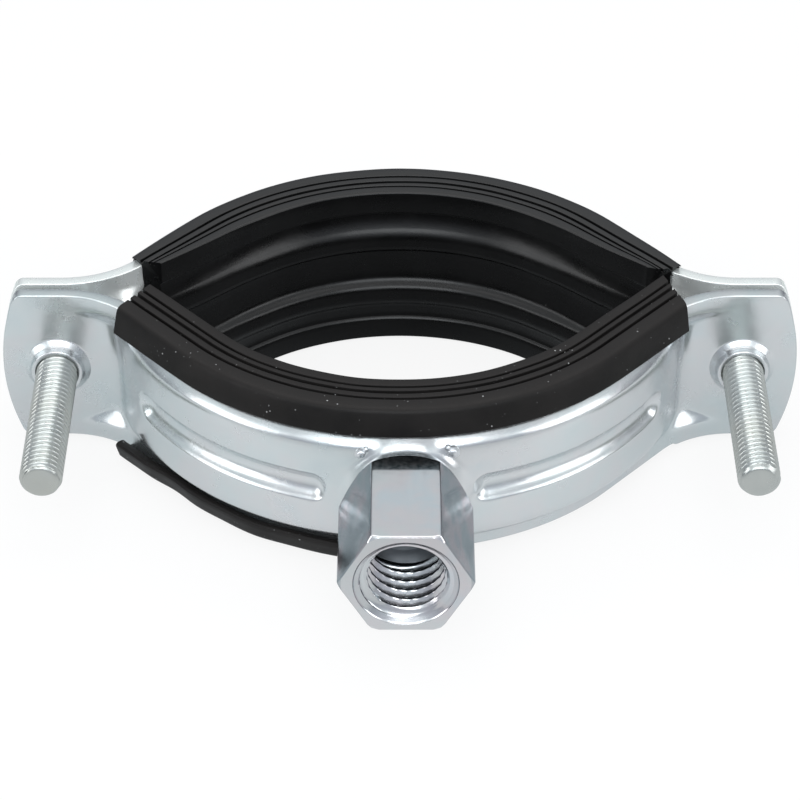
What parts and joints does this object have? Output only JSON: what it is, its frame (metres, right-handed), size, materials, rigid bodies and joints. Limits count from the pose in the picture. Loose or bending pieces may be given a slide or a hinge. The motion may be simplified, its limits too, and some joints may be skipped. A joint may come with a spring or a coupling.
{
  "type": "rubber lined pipe clamp",
  "caption": "Two-part bent steel pipe clamp with a rubber liner in each half, two clamping screws through the ears and a stepped threaded connection nut welded to one half",
  "frame": {"origin": "middle of the pipe opening, half way up the strip and midway between the two ear planes", "axes": "+Z along the pipe axis, +X along the ears toward the right-hand screw, -Y toward the connection nut, so the clamp closes along Y"},
  "size_m": [0.0932, 0.0682, 0.0216],
  "materials": {
    "strap_steel": "zinc plated, satin",
    "nut_steel": "zinc plated, turned and drawn",
    "screw_steel": "zinc plated, rolled thread",
    "liner_rubber": "matte black elastomer"
  },
  "bodies": {
    "front_half": {"front_strap": "strap_steel", "front_liner": "liner_rubber", "connection_nut": "nut_steel"},
    "back_half": {"back_strap": "strap_steel", "back_liner": "liner_rubber"},
    "left_screw": {"left_screw": "screw_steel"},
    "right_screw": {"right_screw": "screw_steel"}
  },
  "joints": [
    {"name": "back_half_slide", "type": "slide", "parent": "front_half", "child": "back_half", "axis": [0, 1, 0], "range_m": [0, 0.02]},
    {"name": "left_screw_turn", "type": "hinge", "parent": "back_half", "child": "left_screw", "pos_m": [-0.0402, 0, 0], "axis": [0, 1, 0], "range_deg": [0, 9010]},
    {"name": "right_screw_turn", "type": "hinge", "parent": "back_half", "child": "right_screw", "pos_m": [0.0402, 0, 0], "axis": [0, 1, 0], "range_deg": [0, 9010]}
  ],
  "couplings": [
    {"joint": "left_screw_turn", "follows": "back_half_slide", "rad_per_m": 7854},
    {"joint": "right_screw_turn", "follows": "back_half_slide", "rad_per_m": 7854}
  ]
}
